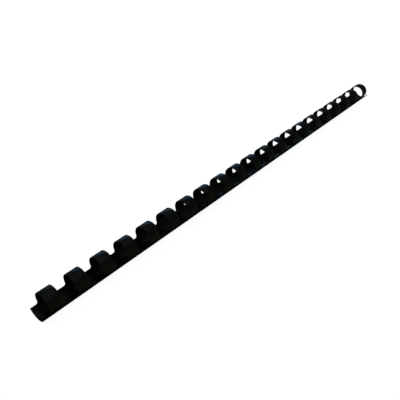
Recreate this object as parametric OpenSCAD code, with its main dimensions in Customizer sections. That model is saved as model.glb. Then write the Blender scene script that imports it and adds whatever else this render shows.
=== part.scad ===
// Plastic binding comb for punched A4 sheets: a curved spine with a row of rolled fingers.
// +X runs along the comb and +Z is up. The origin is on the back of the spine, below the
// middle of the ring axis. Lengths are in millimetres and angles in degrees.

/* [Comb] */
// Number of fingers, one for each slot along the edge of the sheet
ring_count = 21; // [2:1:24]
// Distance from one finger to the next
pitch = 14.2875; // [12:0.0125:16]
// Outside diameter of the closed ring
ring_d = 11.8; // [10:0.1:14]
// Thickness of the plastic strip
sheet_t = 0.5; // [0.4:0.05:0.6]

/* [Spine] */
// Part of the circle that the spine covers
spine_arc = 120; // [100:1:130]

/* [Fingers] */
// Width of a finger
finger_w = 6.4; // [5:0.1:7]
// Radius of the fillets where a finger leaves the spine
root_fillet = 0.9; // [0.5:0.1:1.5]
// Radius of the corners at the tip
tip_corner = 1.5; // [0.5:0.1:2.4]
// How much tighter the tip's half of the ring is rolled
tuck = 0.65; // [0.55:0.05:0.9]
// How far the tip passes inside the edge of the spine
tip_overlap = 26; // [15:1:40]

/* [Hidden] */
$fn = 96;
ring_r = ring_d / 2;
tip_ring_r = ring_r - tuck;
comb_l = ring_count * pitch;

// Angles round the ring axis, from +Y towards +Z
down = -90;
top = 90;
root_angle = down + spine_arc / 2;
spine_start = down - spine_arc / 2;
tip_angle = 360 + spine_start + tip_overlap;

// Rounded corners cross the flat sides that they meet by this much, and don't just touch them
cross = 0.03;
// Straight edge left between a fillet and the spine
foot_land = 0.05;
foot_end = root_angle + asin((root_fillet + foot_land) / (ring_r - sheet_t));
fillet_side = finger_w / 2 + root_fillet - cross;
foot_w = 2 * fillet_side;
corner_angle = tip_angle - asin((tip_corner - cross) / tip_ring_r);
corner_side = finger_w / 2 - tip_corner + cross;
// Reach of the cutting shapes, past everything they cut
far = 2 * ring_d;
margin = 1;

function two_digits(i) = i < 10 ? str("0", i) : str(i);
function finger_name(i) = str("finger_", two_digits(i));
function finger_x(i) = (i - (ring_count + 1) / 2) * pitch;

// The spine is one band, kept as three lengths that meet end to end
SPINE_LENGTHS = ["spine_left", "spine_middle", "spine_right"];
spine_length = comb_l / len(SPINE_LENGTHS);

// Turns a shape drawn round Z into one drawn round the ring axis, which lies along X
module on_ring_axis(x) {
    translate([x, 0, ring_r])
        rotate([90, 0, 90])
            children();
}

// A flat wedge between two angles
module wedge(from_angle, to_angle) {
    steps = 4;
    step = (to_angle - from_angle) / steps;
    polygon(concat([[0, 0]], [
        for (i = [0:steps]) far * [cos(from_angle + i * step), sin(from_angle + i * step)]
    ]));
}

// The edge of the strip seen from the comb's end, rolled from one angle to another
module rolled_edge(from_angle, to_angle, outer_r) {
    intersection() {
        difference() {
            circle(outer_r);
            circle(outer_r - sheet_t);
        }
        wedge(from_angle, to_angle);
    }
}

// A ring in two halves: the tip's half is rolled tighter, so that it passes inside the spine
module finger_edge() {
    rolled_edge(root_angle, top, ring_r);
    translate([0, tuck])
        rolled_edge(top, tip_angle, tip_ring_r);
}

// A round cutter through the wall of the ring
module wall_cutter(angle, outer_r, across, r) {
    rotate([0, 0, angle])
        translate([outer_r - sheet_t - margin, 0, across])
            rotate([0, 90, 0])
                cylinder(h = sheet_t + 2 * margin, r = r);
}

// What is cut away beside the finger, past its wide foot, with the fillet
module side_waste(side) {
    translate([0, 0, side > 0 ? finger_w / 2 : -finger_w / 2 - margin])
        linear_extrude(margin)
            difference() {
                square(far, center = true);
                wedge(down, foot_end);
            }
    wall_cutter(foot_end, ring_r, side * fillet_side, root_fillet);
}

// What is cut away to round one corner of the tip
module tip_corner_waste(side) {
    block = tip_corner + margin;
    translate([0, tuck, 0])
        difference() {
            rotate([0, 0, corner_angle])
                translate([tip_ring_r - sheet_t, 0, side > 0 ? corner_side : -corner_side - block])
                    translate([-margin / 2, 0, 0])
                        cube([sheet_t + margin, block, block]);
            wall_cutter(corner_angle, tip_ring_r, side * corner_side, tip_corner);
        }
}

// One length of the spine, counted from the left: 0, 1 or 2
module spine(k) {
    color([0.07, 0.075, 0.085])
        on_ring_axis(k * spine_length - comb_l / 2)
            linear_extrude(spine_length)
                rolled_edge(spine_start, root_angle, ring_r);
}

module finger(i) {
    color([0.11, 0.12, 0.14])
        on_ring_axis(finger_x(i))
            difference() {
                linear_extrude(foot_w, center = true)
                    finger_edge();
                for (side = [-1, 1]) {
                    side_waste(side);
                    tip_corner_waste(side);
                }
            }
}

for (k = [0:len(SPINE_LENGTHS) - 1])
    spine(k);
for (i = [1:ring_count])
    finger(i);
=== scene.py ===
# %% [markdown]
# # A plastic binding comb
# A binding comb is cut from one flat strip of black PVC and curled with heat. A band along one side
# becomes the spine, and the 21 tabs beside it become fingers that spring shut into rings.
# The comb's frame is loaded first. It is fixed, and every piece made here is built around it.

# %% Load the frame
import math
import bpy
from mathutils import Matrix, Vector


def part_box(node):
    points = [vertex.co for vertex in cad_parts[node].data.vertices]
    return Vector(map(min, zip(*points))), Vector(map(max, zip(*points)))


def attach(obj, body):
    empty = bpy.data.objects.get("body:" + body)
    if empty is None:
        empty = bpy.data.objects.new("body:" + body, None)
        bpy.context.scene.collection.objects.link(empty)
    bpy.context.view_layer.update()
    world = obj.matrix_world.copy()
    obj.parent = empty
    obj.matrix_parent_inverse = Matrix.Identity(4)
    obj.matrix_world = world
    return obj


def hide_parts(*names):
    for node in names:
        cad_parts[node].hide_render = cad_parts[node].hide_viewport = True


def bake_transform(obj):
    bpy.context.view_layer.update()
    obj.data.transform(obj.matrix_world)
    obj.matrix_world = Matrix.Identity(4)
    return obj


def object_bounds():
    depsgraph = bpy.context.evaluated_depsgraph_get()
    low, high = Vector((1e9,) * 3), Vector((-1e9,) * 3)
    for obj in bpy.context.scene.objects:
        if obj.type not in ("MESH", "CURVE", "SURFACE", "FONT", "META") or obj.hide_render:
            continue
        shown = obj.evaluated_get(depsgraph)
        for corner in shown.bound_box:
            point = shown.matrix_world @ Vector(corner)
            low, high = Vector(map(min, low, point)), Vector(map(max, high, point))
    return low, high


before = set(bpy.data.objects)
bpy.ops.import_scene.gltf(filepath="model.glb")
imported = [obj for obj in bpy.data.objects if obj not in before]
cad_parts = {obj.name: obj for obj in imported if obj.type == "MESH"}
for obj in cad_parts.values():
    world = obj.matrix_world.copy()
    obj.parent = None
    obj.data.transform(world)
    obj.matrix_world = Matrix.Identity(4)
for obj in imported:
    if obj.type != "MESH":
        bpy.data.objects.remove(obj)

MM = 0.001
cad_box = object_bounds()
print("frame box in mm:", [[round(v / MM, 2) for v in corner] for corner in cad_box])

# %% [markdown]
# ## Sizes
# The frame says how long the comb is, how many fingers it has, how wide its rings are, and where each
# finger lies along it. The rest are the few driving sizes of the design: the thickness of the sheet, the
# width of a finger, the angles that the spine covers, and the radii of the corners that the cutting die
# leaves.

# %% Sizes of the comb
FINGERS = sorted(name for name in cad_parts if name.startswith("finger_"))
SPINE_NODES = sorted(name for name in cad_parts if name.startswith("spine"))
comb_l = cad_box[1].x - cad_box[0].x
pitch = comb_l / len(FINGERS)
ring_r = (cad_box[1].z - cad_box[0].z) / 2
sheet_t = 0.5 * MM
finger_w = 6.4 * MM
root_fillet = 0.9 * MM
tip_corner = 1.5 * MM
tuck = 0.65 * MM
edge_round = 0.05 * MM
print(f"{len(FINGERS)} fingers every {pitch / MM:.4f} mm, rings {2 * ring_r / MM:.1f} mm across")

# %% Angles round the ring, in degrees from +Y towards +Z
SPINE_START = -150.0
ROOT = -30.0
TOP = 90.0
TIP = 236.0
STEP = 2.0
# Straight edge between the spine and a fillet, and the angle where the fillet is done
FOOT_LAND = 0.05 * MM
FOOT = ROOT + math.degrees(math.asin((root_fillet + FOOT_LAND) / (ring_r - sheet_t)))
ring_axis = Vector((0, 0, ring_r))
tip_axis = Vector((0, 0, ring_r + tuck))


def finger_x(name):
    """Where a finger's middle lies along the comb."""
    low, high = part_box(name)
    return (low.x + high.x) / 2


def on_ring(degrees, radius, axis=ring_axis):
    """A point round the ring at an angle and a radius, in the plane through the middle."""
    turn = math.radians(degrees)
    return axis + Vector((0, radius * math.cos(turn), radius * math.sin(turn)))


print(f"the feet of the fingers end at {FOOT:.2f} degrees")

# %% [markdown]
# ## Camera
# A long thin object is seen best from beside one end, so that it runs away from the eye across the
# whole frame. The camera stands up and to the left of the near end, with a slightly long lens,
# and looks along the row of rings. It has no roll, so two angles turn it.

# %% Make the camera
camera_place = Vector((-198.9, -135.1, 157.8)) * MM
LOOK_DOWN = 36.85
LOOK_RIGHT = 48.42
bpy.ops.object.select_all(action="DESELECT")
bpy.ops.object.camera_add(
    location=camera_place,
    rotation=(math.radians(90 - LOOK_DOWN), 0, math.radians(-LOOK_RIGHT)),
)
camera = bpy.context.object
camera.name = "camera"
camera.data.lens = 41.57
camera.data.sensor_width = 36
camera.data.clip_start = 0.01
bpy.context.scene.camera = camera
print("camera at", [round(v, 4) for v in camera.location])

# %% [markdown]
# ## Floor and light
# Small black plastic is shown on an overexposed white sweep, so that only its outline and a
# few soft reflections are left. What the lens sees of the floor is nearly pure white. What the
# plastic reflects of it is darker and faintly yellow-green, as when black cards stand beside the
# object, because a mirror of pure white would turn the black plastic grey. The Light Path node tells
# the two apart. A low blue window behind the comb draws the highlights along the tops of the rings.

# %% Helpers for shader trees
def add_node(tree, kind, **settings):
    """A new shader node. Settings that name an input set its value, and the others its property."""
    made = tree.nodes.new(kind)
    for key, value in settings.items():
        if key in made.inputs:
            made.inputs[key].default_value = value
        else:
            setattr(made, key, value)
    return made


def new_material(name):
    """A material with an empty tree and its output node."""
    material = bpy.data.materials.new(name)
    material.use_nodes = True
    material.node_tree.nodes.clear()
    output = add_node(material.node_tree, "ShaderNodeOutputMaterial")
    return material, material.node_tree, output


# %% Make the floor
FLOOR_DROP = 0.02 * MM


def make_floor(side, seen, reflected):
    """A flat floor whose brightness to the lens and in reflections is set apart."""
    bpy.ops.object.select_all(action="DESELECT")
    bpy.ops.mesh.primitive_plane_add(size=side, location=(0, 0, -FLOOR_DROP))
    floor = bpy.context.object
    floor.name = "floor"
    material, tree, output = new_material("white_sweep")
    to_lens = add_node(tree, "ShaderNodeBsdfPrincipled", Roughness=0.9)
    to_lens.inputs["Base Color"].default_value = (0.9, 0.9, 0.9, 1)
    to_lens.inputs["Specular IOR Level"].default_value = 0
    to_lens.inputs["Emission Color"].default_value = (1, 1, 1, 1)
    to_lens.inputs["Emission Strength"].default_value = seen
    to_plastic = add_node(tree, "ShaderNodeBsdfDiffuse", Color=(*reflected, 1))
    path = add_node(tree, "ShaderNodeLightPath")
    mix = add_node(tree, "ShaderNodeMixShader")
    tree.links.new(path.outputs["Is Camera Ray"], mix.inputs["Fac"])
    tree.links.new(to_plastic.outputs[0], mix.inputs[1])
    tree.links.new(to_lens.outputs[0], mix.inputs[2])
    tree.links.new(mix.outputs[0], output.inputs["Surface"])
    floor.data.materials.append(material)
    return floor


floor = make_floor(side=20, seen=0.94, reflected=(0.75, 0.92, 0.42))
print("floor", tuple(round(v, 2) for v in floor.dimensions))

# %% Make the surroundings
def make_world(seen, reflected):
    """An even studio: white behind the object, and dim in its reflections."""
    world = bpy.data.worlds.new("studio")
    world.use_nodes = True
    tree = world.node_tree
    tree.nodes.clear()
    output = add_node(tree, "ShaderNodeOutputWorld")
    behind = add_node(tree, "ShaderNodeBackground", Color=(1, 1, 1, 1), Strength=seen)
    around = add_node(tree, "ShaderNodeBackground", Color=(0.93, 0.97, 1, 1), Strength=reflected)
    path = add_node(tree, "ShaderNodeLightPath")
    mix = add_node(tree, "ShaderNodeMixShader")
    tree.links.new(path.outputs["Is Camera Ray"], mix.inputs["Fac"])
    tree.links.new(around.outputs[0], mix.inputs[1])
    tree.links.new(behind.outputs[0], mix.inputs[2])
    tree.links.new(mix.outputs[0], output.inputs["Surface"])
    bpy.context.scene.world = world
    return world


world = make_world(seen=1.0, reflected=0.045)
bpy.context.scene.view_settings.view_transform = "Standard"
print("world", world.name)

# %% Make the lights
def softbox(name, place, size, watts, colour):
    """A rectangular soft light that faces the comb."""
    bpy.ops.object.light_add(type="AREA", location=place)
    light = bpy.context.object
    light.name = name
    light.rotation_euler = (-Vector(place)).to_track_quat("-Z", "Y").to_euler()
    light.data.shape = "RECTANGLE"
    light.data.size, light.data.size_y = size
    light.data.energy = watts
    light.data.color = colour
    return light


bpy.ops.object.light_add(type="SUN", location=(0, 0, 1))
overhead = bpy.context.object
overhead.name = "overhead"
overhead.data.energy = 0.09
overhead.data.angle = math.radians(70)
softbox("cool_window", place=(0.42, 0.62, 0.26), size=(0.7, 0.2), watts=0.38, colour=(0.25, 0.6, 1))

# %% [markdown]
# ## Rolling a strip
# The sheet is the same thickness everywhere, so every part of the comb is one thin rectangle, the
# end of the strip, carried round the ring's axis. A bent grid or a profile on a curve would give the
# same shape, but the Spin tool is closer to how the strip is curled round a heated mandrel, and it
# leaves clean quads along the strip. The helpers below start a strip, roll it and change its width.

# %% Helpers for edit mode
def deselect():
    """Leaves nothing selected in object mode."""
    if bpy.context.mode != "OBJECT":
        bpy.ops.object.mode_set(mode="OBJECT")
    bpy.ops.object.select_all(action="DESELECT")


def start_strip(name, degrees, width, axis=ring_axis):
    """The cut end of the strip: a plane at an angle round the ring, with its outer side on the ring."""
    deselect()
    middle = on_ring(degrees, ring_r - sheet_t / 2, axis)
    bpy.ops.mesh.primitive_plane_add(size=1, location=middle, rotation=(math.radians(degrees), 0, 0))
    strip = bpy.context.object
    strip.name = strip.data.name = name
    strip.scale = (width, sheet_t, 1)
    bpy.ops.object.transform_apply(location=True, rotation=True, scale=True)
    bpy.ops.object.mode_set(mode="EDIT")
    bpy.ops.mesh.select_mode(type="FACE")
    bpy.ops.mesh.select_all(action="SELECT")
    return strip


def roll(degrees, axis, steps=None):
    """Carries the selected end further round an axis."""
    bpy.ops.mesh.spin(
        steps=steps or max(1, round(abs(degrees) / STEP)),
        angle=math.radians(degrees),
        center=axis,
        axis=(-1, 0, 0),
        dupli=False,
    )


def widen(factor):
    """Makes the selected end wider or narrower about its middle."""
    bpy.ops.transform.resize(value=(factor, 1, 1), center_override=(0, 0, 0))


def select_faces(piece, wanted):
    """In edit mode, selects the faces whose centre and normal pass a test."""
    bpy.ops.mesh.select_all(action="DESELECT")
    bpy.ops.object.mode_set(mode="OBJECT")
    for face in piece.data.polygons:
        face.select = wanted(face.center, face.normal)
    chosen = sum(face.select for face in piece.data.polygons)
    bpy.ops.object.mode_set(mode="EDIT")
    bpy.ops.mesh.select_mode(type="FACE")
    return chosen


print("strip helpers ready")

# %% [markdown]
# ## The spine
# The spine is the uncut band of the strip, a third of a circle in section. Each finger grows out of
# its edge through a foot with a small fillet on each side, because a sharp inner corner would tear.
# One pitch of the band is modelled with its foot, and an Array repeats it, so that all 21 feet are
# alike. The walls between neighbouring lengths are deleted and the seams merged, which leaves one
# closed band. The ends of the feet stay open until the edges are rounded, so that no groove shows
# where a finger goes on.

# %% Model one pitch of the spine
FILLET_RINGS = 6
foot_half = finger_w / 2 + root_fillet


def foot_ring(k):
    """Angle and half width of the foot at ring k of its fillets, which are quarter circles."""
    turn = math.pi / 2 * k / FILLET_RINGS
    along = FOOT_LAND + root_fillet * (1 - math.cos(turn))
    angle = ROOT + math.degrees(math.asin(along / (ring_r - sheet_t)))
    return angle, foot_half - root_fillet * math.sin(turn)


spine = start_strip("spine", SPINE_START, pitch)
for side in (-1, 1):
    bpy.ops.mesh.select_all(action="SELECT")
    bpy.ops.mesh.bisect(plane_co=(side * foot_half, 0, 0), plane_no=(1, 0, 0))
bpy.ops.mesh.select_all(action="SELECT")
roll(ROOT - SPINE_START, ring_axis)
root_end = on_ring(ROOT, ring_r - sheet_t / 2)
select_faces(spine, lambda c, n: abs(c.x) < foot_half and (c - root_end).length < sheet_t / 2)
angle, half = ROOT, foot_half
for k in range(FILLET_RINGS + 1):
    next_angle, next_half = foot_ring(k)
    roll(next_angle - angle, ring_axis, steps=1)
    widen(next_half / half)
    angle, half = next_angle, next_half
bpy.ops.mesh.delete(type="FACE")
bpy.ops.object.mode_set(mode="OBJECT")
print("one pitch of the spine:", len(spine.data.polygons), "faces")

# %% Repeat it along the comb
SEAM = MM / 1000
repeat = spine.modifiers.new("repeat", "ARRAY")
repeat.use_relative_offset = False
repeat.use_constant_offset = True
repeat.constant_offset_displace = (pitch, 0, 0)
repeat.count = len(FINGERS)
bpy.ops.object.modifier_apply(modifier=repeat.name)
bpy.ops.object.mode_set(mode="EDIT")
bpy.ops.mesh.select_all(action="SELECT")
bpy.ops.transform.translate(value=((pitch - comb_l) / 2, 0, 0))


def between_lengths(centre, normal):
    """True for a wall between two neighbouring lengths, and not at the comb's own ends."""
    across = (centre.x + comb_l / 2) % pitch
    on_joint = min(across, pitch - across) < pitch / 100
    return abs(normal.x) > 0.99 and on_joint and abs(centre.x) < comb_l / 2 - pitch / 2


walls = select_faces(spine, between_lengths)
bpy.ops.mesh.delete(type="FACE")
bpy.ops.mesh.select_all(action="SELECT")
bpy.ops.mesh.remove_doubles(threshold=SEAM)
bpy.ops.mesh.normals_make_consistent(inside=False)
bpy.ops.object.mode_set(mode="OBJECT")
print("walls taken out between lengths:", walls)

# %% Helpers that finish a strip
DIE_ANGLE = 40.0
SMOOTH_ANGLE = 25.0


def round_edges(piece):
    """Rounds the cut edges, as a die leaves them. Open ends stay as they are."""
    bevel = piece.modifiers.new("cut_edges", "BEVEL")
    bevel.width = edge_round
    bevel.segments = 2
    bevel.limit_method = "ANGLE"
    bevel.angle_limit = math.radians(DIE_ANGLE)
    bpy.ops.object.modifier_apply(modifier=bevel.name)


def close_and_smooth(piece):
    """Fills the open ends, points all faces outwards and shades the curls smooth."""
    bpy.ops.object.mode_set(mode="EDIT")
    bpy.ops.mesh.select_mode(type="EDGE")
    bpy.ops.mesh.select_all(action="SELECT")
    bpy.ops.mesh.fill_holes(sides=0)
    bpy.ops.mesh.select_all(action="SELECT")
    bpy.ops.mesh.normals_make_consistent(inside=False)
    bpy.ops.object.mode_set(mode="OBJECT")
    bpy.ops.object.shade_smooth_by_angle(angle=math.radians(SMOOTH_ANGLE))


def open_edges(piece):
    """How many edges of a piece don't have exactly two faces."""
    faces_at = {}
    for face in piece.data.polygons:
        for key in face.edge_keys:
            faces_at[key] = faces_at.get(key, 0) + 1
    return sum(count != 2 for count in faces_at.values())


round_edges(spine)
close_and_smooth(spine)
print("spine:", len(spine.data.polygons), "faces,", open_edges(spine), "open edges")

# %% [markdown]
# ## A finger
# A finger is flat when it is cut and rolled when it is done, and it opens by bending on its way up
# from the foot. So it is made as two pieces with the same section: a root between the spine and the
# finger, where the real finger bends, and a loop that moves as one with the finger. The root goes up
# to the top of the ring. The loop comes down on the other side on a slightly tighter curl, and passes
# inside the spine's far edge. Its tip has rounded corners, so that it slips through the slots in the
# paper.

# %% Model the root of a finger
def open_ends(piece, degrees):
    """Takes away the flat ends of a strip at the angles given, where another piece goes on."""
    ends = [on_ring(d, ring_r - sheet_t / 2) for d in degrees]
    select_faces(piece, lambda c, n: min((c - e).length for e in ends) < sheet_t / 10)
    bpy.ops.mesh.delete(type="ONLY_FACE")
    bpy.ops.mesh.select_all(action="SELECT")
    bpy.ops.mesh.normals_make_consistent(inside=False)
    bpy.ops.object.mode_set(mode="OBJECT")


root = start_strip("finger_root", FOOT, finger_w)
roll(TOP - FOOT, ring_axis)
open_ends(root, [FOOT, TOP])
round_edges(root)
close_and_smooth(root)
print("root:", len(root.data.polygons), "faces,", open_edges(root), "open edges")

# %% Model the loop of a finger
TIP_RINGS = 8
tip_r = ring_r - tuck


def tip_ring(k):
    """Angle and half width at ring k of the tip's corners, which are quarter circles."""
    turn = math.pi / 2 * k / TIP_RINGS
    from_tip = tip_corner * (1 - math.sin(turn))
    angle = TIP - math.degrees(math.asin(from_tip / tip_r))
    return angle, finger_w / 2 - tip_corner * (1 - math.cos(turn))


loop = start_strip("finger_loop", TOP, finger_w)
angle, half = TOP, finger_w / 2
for k in range(TIP_RINGS + 1):
    next_angle, next_half = tip_ring(k)
    roll(next_angle - angle, tip_axis, steps=1 if k else None)
    widen(next_half / half)
    angle, half = next_angle, next_half
open_ends(loop, [TOP])
round_edges(loop)
close_and_smooth(loop)
print("loop:", len(loop.data.polygons), "faces,", open_edges(loop), "open edges")

# %% [markdown]
# ## Surface effects
# Three effects are shared by the finishes, so each is a node group. Calendering, which rolls hot PVC
# into sheet between steel rollers, leaves a fine grain and long faint streaks. Handling leaves
# hairline scratches and a little lint. The corners of the cut edges rub pale first. All of them read
# Object coordinates in millimetres, so the pattern runs on unbroken from the spine into each finger.

# %% Helpers for node groups
def new_group(name, inputs, outputs):
    """A shader node group with named sockets. Returns the group, its input and its output node."""
    tree = bpy.data.node_groups.new(name, "ShaderNodeTree")
    for socket, kind, value in inputs:
        made = tree.interface.new_socket(socket, in_out="INPUT", socket_type=kind)
        if value is not None:
            made.default_value = value
    for socket, kind in outputs:
        tree.interface.new_socket(socket, in_out="OUTPUT", socket_type=kind)
    return tree, add_node(tree, "NodeGroupInput"), add_node(tree, "NodeGroupOutput")


def use_group(tree, group, vector, **values):
    """A group placed in a tree, fed with a vector, with its own values."""
    placed = add_node(tree, "ShaderNodeGroup", node_tree=group)
    tree.links.new(vector, placed.inputs["Vector"])
    for socket, value in values.items():
        placed.inputs[socket.replace("_", " ")].default_value = value
    return placed


def stretched(tree, vector, scale):
    """The vector scaled along each axis, to draw a pattern out or squeeze it."""
    mapping = add_node(tree, "ShaderNodeMapping", Scale=scale)
    tree.links.new(vector, mapping.inputs["Vector"])
    return mapping.outputs["Vector"]


def noise(tree, vector, scale, detail=3.0, roughness=0.5):
    """Fractal noise at a number of lumps a millimetre."""
    made = add_node(tree, "ShaderNodeTexNoise", Scale=scale, Detail=detail, Roughness=roughness)
    tree.links.new(vector, made.inputs["Vector"])
    return made.outputs["Fac"]


def remap(tree, value, low, high, to_low=0.0, to_high=1.0):
    """A value carried from one range to another, and kept inside it."""
    made = add_node(tree, "ShaderNodeMapRange")
    made.inputs["From Min"].default_value = low
    made.inputs["From Max"].default_value = high
    made.inputs["To Min"].default_value = to_low
    made.inputs["To Max"].default_value = to_high
    tree.links.new(value, made.inputs["Value"])
    return made.outputs["Result"]


def maths(tree, operation, *terms):
    """A Math node over links and numbers."""
    made = add_node(tree, "ShaderNodeMath", operation=operation)
    for i, term in enumerate(terms):
        if isinstance(term, bpy.types.NodeSocket):
            tree.links.new(term, made.inputs[i])
        else:
            made.inputs[i].default_value = term
    return made.outputs[0]


print("node helpers ready")

# %% Group: calendered sheet
def make_sheet_grain():
    """Fine grain and long streaks of rolled sheet, as a height and as a mottle from 0 to 1."""
    tree, given, out = new_group(
        "sheet_grain",
        [("Vector", "NodeSocketVector", None), ("Grain", "NodeSocketFloat", 1.0),
         ("Streaks", "NodeSocketFloat", 1.0)],
        [("Height", "NodeSocketFloat"), ("Mottle", "NodeSocketFloat")],
    )
    vector = given.outputs["Vector"]
    grain = noise(tree, vector, 9.0, detail=2.0)
    streaks = noise(tree, stretched(tree, vector, (0.06, 1, 1)), 2.6, detail=4.0, roughness=0.6)
    clouds = noise(tree, stretched(tree, vector, (0.5, 1, 1)), 0.35, detail=2.0)
    fine = maths(tree, "MULTIPLY", grain, given.outputs["Grain"])
    long = maths(tree, "MULTIPLY", streaks, given.outputs["Streaks"])
    tree.links.new(maths(tree, "ADD", fine, long), out.inputs["Height"])
    streak_part = maths(tree, "MULTIPLY", streaks, 0.55)
    cloud_part = maths(tree, "MULTIPLY", clouds, 0.45)
    mixed = maths(tree, "ADD", streak_part, cloud_part)
    tree.links.new(remap(tree, mixed, 0.3, 0.7), out.inputs["Mottle"])
    return tree


sheet_grain = make_sheet_grain()
print(sheet_grain.name, [s.name for s in sheet_grain.interface.items_tree])

# %% Group: handling marks
def make_handling_marks():
    """Hairline scratches that run most ways but mostly along the comb, and specks of lint."""
    tree, given, out = new_group(
        "handling_marks",
        [("Vector", "NodeSocketVector", None), ("Scratches", "NodeSocketFloat", 1.0),
         ("Lint", "NodeSocketFloat", 1.0)],
        [("Scratches", "NodeSocketFloat"), ("Lint", "NodeSocketFloat")],
    )
    vector = given.outputs["Vector"]
    hairs = None
    for turn, scale in ((0.12, 0.9), (-0.35, 0.7), (1.1, 0.5)):
        mapping = add_node(tree, "ShaderNodeMapping", Rotation=(0, turn, turn), Scale=(0.05, 1, 1))
        tree.links.new(vector, mapping.inputs["Vector"])
        field = noise(tree, mapping.outputs["Vector"], scale * 3, detail=1.0)
        line = remap(tree, maths(tree, "ABSOLUTE", maths(tree, "SUBTRACT", field, 0.5)), 0.0, 0.006, 1, 0)
        hairs = line if hairs is None else maths(tree, "MAXIMUM", hairs, line)
    patches = remap(tree, noise(tree, vector, 0.22, detail=1.0), 0.5, 0.62)
    broken = remap(tree, noise(tree, vector, 1.6, detail=2.0), 0.45, 0.6)
    where = maths(tree, "MULTIPLY", patches, broken)
    scratches = maths(tree, "MULTIPLY", maths(tree, "MULTIPLY", hairs, where), given.outputs["Scratches"])
    tree.links.new(scratches, out.inputs["Scratches"])
    cells = add_node(tree, "ShaderNodeTexVoronoi", Scale=1.1, Randomness=1.0)
    tree.links.new(vector, cells.inputs["Vector"])
    speck = remap(tree, cells.outputs["Distance"], 0.03, 0.055, 1, 0)
    rare = remap(tree, noise(tree, vector, 0.5, detail=0.0), 0.55, 0.6)
    lint = maths(tree, "MULTIPLY", maths(tree, "MULTIPLY", speck, rare), given.outputs["Lint"])
    tree.links.new(lint, out.inputs["Lint"])
    return tree


handling_marks = make_handling_marks()
print(handling_marks.name, [s.name for s in handling_marks.interface.items_tree])

# %% Group: rubbed rim
def make_rubbed_rim():
    """How much the face is rubbed where it nears a cut edge. Between the fingers that is the spine's
    long edge, on a finger it is the nearer side, and at the comb's ends it is the end."""
    tree, given, out = new_group(
        "rubbed_rim",
        [("Vector", "NodeSocketVector", None), ("Reach", "NodeSocketFloat", 0.45)],
        [("Rub", "NodeSocketFloat")],
    )
    vector = given.outputs["Vector"]
    parts = add_node(tree, "ShaderNodeSeparateXYZ")
    tree.links.new(vector, parts.inputs[0])
    x, z = parts.outputs["X"], parts.outputs["Z"]
    across = maths(tree, "PINGPONG", maths(tree, "ADD", x, pitch / MM * len(FINGERS)), pitch / MM / 2)
    beside = maths(tree, "SUBTRACT", finger_w / MM / 2, across)
    below = maths(tree, "SUBTRACT", on_ring(ROOT, ring_r).z / MM, z)
    inside = maths(tree, "MAXIMUM", beside, below)
    to_end = maths(tree, "SUBTRACT", comb_l / MM / 2, maths(tree, "ABSOLUTE", x))
    distance = maths(tree, "MINIMUM", inside, to_end)
    worn = add_node(tree, "ShaderNodeMapRange")
    tree.links.new(distance, worn.inputs["Value"])
    tree.links.new(given.outputs["Reach"], worn.inputs["From Min"])
    worn.inputs["From Max"].default_value = 0
    ragged = remap(tree, noise(tree, vector, 2.2, detail=3.0), 0.4, 0.66)
    tree.links.new(maths(tree, "MULTIPLY", worn.outputs["Result"], ragged), out.inputs["Rub"])
    return tree


rubbed_rim = make_rubbed_rim()
print(rubbed_rim.name, [s.name for s in rubbed_rim.interface.items_tree])

# %% [markdown]
# ## Finishes
# The comb has two finishes. The rolled faces are near-black and satin, with a soft gloss that
# brightens only where they turn away from the eye. The die shears the edges, and leaves them duller
# and a little greyer, with fine lines straight across the thickness of the sheet. Neither is pure
# black: the pigment is carbon, and the surface scatters a little cool light.

# %% Helpers for the finishes
def millimetres(tree):
    """Object coordinates in millimetres."""
    place = add_node(tree, "ShaderNodeTexCoord")
    return stretched(tree, place.outputs["Object"], (1 / MM, 1 / MM, 1 / MM))


def blend_colour(tree, factor, low, high):
    """A colour that goes from one value or link to another."""
    made = add_node(tree, "ShaderNodeMix", data_type="RGBA")
    tree.links.new(factor, made.inputs["Factor"])
    for socket, value in ((made.inputs[6], low), (made.inputs[7], high)):
        if isinstance(value, bpy.types.NodeSocket):
            tree.links.new(value, socket)
        else:
            socket.default_value = (*value, 1)
    return made.outputs[2]


def bump(tree, height, depth):
    """A Bump node whose heights are this deep, in metres."""
    made = add_node(tree, "ShaderNodeBump", Strength=1.0, Distance=depth)
    tree.links.new(height, made.inputs["Height"])
    return made.outputs["Normal"]


# %% Finish of the rolled faces
PVC_IOR = 1.53
LINT_COLOUR = (0.16, 0.16, 0.17)


def make_rolled_face():
    """Satin black PVC sheet."""
    material, tree, output = new_material("rolled_face")
    vector = millimetres(tree)
    grain = use_group(tree, sheet_grain, vector, Grain=0.35, Streaks=0.8)
    marks = use_group(tree, handling_marks, vector, Scratches=0.7, Lint=0.5)
    rim = use_group(tree, rubbed_rim, vector, Reach=0.45)
    shade = blend_colour(tree, grain.outputs["Mottle"], (0.010, 0.011, 0.012), (0.016, 0.017, 0.0185))
    rubbed = maths(tree, "MULTIPLY", rim.outputs["Rub"], 0.6)
    shade = blend_colour(tree, rubbed, shade, (0.05, 0.052, 0.056))
    shade = blend_colour(tree, marks.outputs["Scratches"], shade, (0.045, 0.047, 0.05))
    shade = blend_colour(tree, marks.outputs["Lint"], shade, LINT_COLOUR)
    shader = add_node(tree, "ShaderNodeBsdfPrincipled")
    shader.inputs["IOR"].default_value = PVC_IOR
    shader.inputs["Specular IOR Level"].default_value = 0.5
    tree.links.new(shade, shader.inputs["Base Color"])
    gloss = remap(tree, grain.outputs["Mottle"], 0, 1, 0.28, 0.35)
    worn = maths(tree, "MULTIPLY", rim.outputs["Rub"], 0.2)
    dull = maths(tree, "MULTIPLY", marks.outputs["Scratches"], 0.2)
    roughness = maths(tree, "ADD", gloss, maths(tree, "ADD", worn, dull))
    tree.links.new(roughness, shader.inputs["Roughness"])
    tree.links.new(bump(tree, grain.outputs["Height"], 0.006 * MM), shader.inputs["Normal"])
    tree.links.new(shader.outputs[0], output.inputs["Surface"])
    return material


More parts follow.
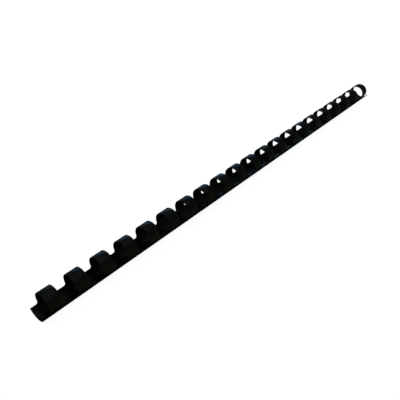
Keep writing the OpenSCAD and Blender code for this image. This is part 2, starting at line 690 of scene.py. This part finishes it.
rolled_face = make_rolled_face()
print(rolled_face.name, len(rolled_face.node_tree.nodes), "nodes")

# %% Finish of the cut edges
def make_cut_edge():
    """The sheared edge: duller and greyer, with fine lines across the thickness."""
    material, tree, output = new_material("cut_edge")
    vector = millimetres(tree)
    grain = use_group(tree, sheet_grain, vector, Grain=1.0, Streaks=0.2)
    marks = use_group(tree, handling_marks, vector, Scratches=0.3, Lint=0.8)
    sheared = noise(tree, stretched(tree, vector, (1, 1, 0.7)), 14.0, detail=2.0, roughness=0.7)
    shade = blend_colour(tree, sheared, (0.016, 0.017, 0.018), (0.042, 0.043, 0.046))
    shade = blend_colour(tree, marks.outputs["Lint"], shade, LINT_COLOUR)
    shader = add_node(tree, "ShaderNodeBsdfPrincipled")
    shader.inputs["IOR"].default_value = PVC_IOR
    shader.inputs["Specular IOR Level"].default_value = 0.4
    tree.links.new(shade, shader.inputs["Base Color"])
    tree.links.new(remap(tree, grain.outputs["Mottle"], 0, 1, 0.5, 0.66), shader.inputs["Roughness"])
    height = maths(tree, "ADD", sheared, maths(tree, "MULTIPLY", grain.outputs["Height"], 0.5))
    tree.links.new(bump(tree, height, 0.012 * MM), shader.inputs["Normal"])
    tree.links.new(shader.outputs[0], output.inputs["Surface"])
    return material


cut_edge = make_cut_edge()
print(cut_edge.name, len(cut_edge.node_tree.nodes), "nodes")

# %% Put the finishes on
def put_on(piece, curl_axis):
    """The rolled face everywhere, and the cut edge on all faces that don't look along a radius."""
    deselect()
    bpy.context.view_layer.objects.active = piece
    piece.select_set(True)
    piece.data.materials.append(rolled_face)
    piece.data.materials.append(cut_edge)
    bpy.ops.object.mode_set(mode="EDIT")

    def is_cut(centre, normal):
        radius = centre - curl_axis(centre)
        radius.x = 0
        return abs(normal.dot(radius.normalized())) < 0.95

    found = select_faces(piece, is_cut)
    piece.active_material_index = 1
    bpy.ops.object.material_slot_assign()
    bpy.ops.object.mode_set(mode="OBJECT")
    print(piece.name, "has", found, "faces of cut edge")


put_on(spine, lambda centre: ring_axis)
put_on(root, lambda centre: ring_axis)
put_on(loop, lambda centre: tip_axis)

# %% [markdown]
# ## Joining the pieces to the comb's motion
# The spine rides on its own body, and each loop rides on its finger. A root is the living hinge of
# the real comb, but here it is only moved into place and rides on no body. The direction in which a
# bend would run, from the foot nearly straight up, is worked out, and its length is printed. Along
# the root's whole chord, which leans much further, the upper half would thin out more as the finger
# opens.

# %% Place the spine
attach(spine, "spine")
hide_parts(*SPINE_NODES)
print("spine rides on its body")

# %% Place the fingers
BEND_LEAN = 10.0
bend_turn = math.radians(BEND_LEAN)
upwards = Vector((0, -math.sin(bend_turn), math.cos(bend_turn)))


def height_of(degrees, pick):
    """How far up the blend a cut end of the strip reaches: the lowest or the highest of its sides."""
    return pick(upwards.dot(on_ring(degrees, r)) for r in (ring_r, ring_r - sheet_t))


def copy_to(template, name, x):
    """A copy of a piece with its own mesh, moved along the comb, and left at the origin."""
    deselect()
    template.select_set(True)
    bpy.context.view_layer.objects.active = template
    bpy.ops.object.duplicate(linked=False)
    copy = bpy.context.object
    copy.name = copy.data.name = name
    copy.location.x = x
    bpy.ops.object.transform_apply(location=True, rotation=False, scale=False)
    return copy


bend_start = upwards * height_of(FOOT, max)
bend_end = upwards * height_of(TOP, min)
for name in FINGERS:
    x = finger_x(name)
    own_loop = copy_to(loop, f"{name}_loop", x)
    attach(own_loop, name)
    own_root = copy_to(root, f"{name}_root", x)
    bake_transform(own_root)
    for piece in (own_loop, own_root):
        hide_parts(name)
for template in (loop, root):
    bpy.data.objects.remove(template)
print(len(FINGERS), "fingers placed; they bend over", round((bend_end - bend_start).length / MM, 2), "mm")
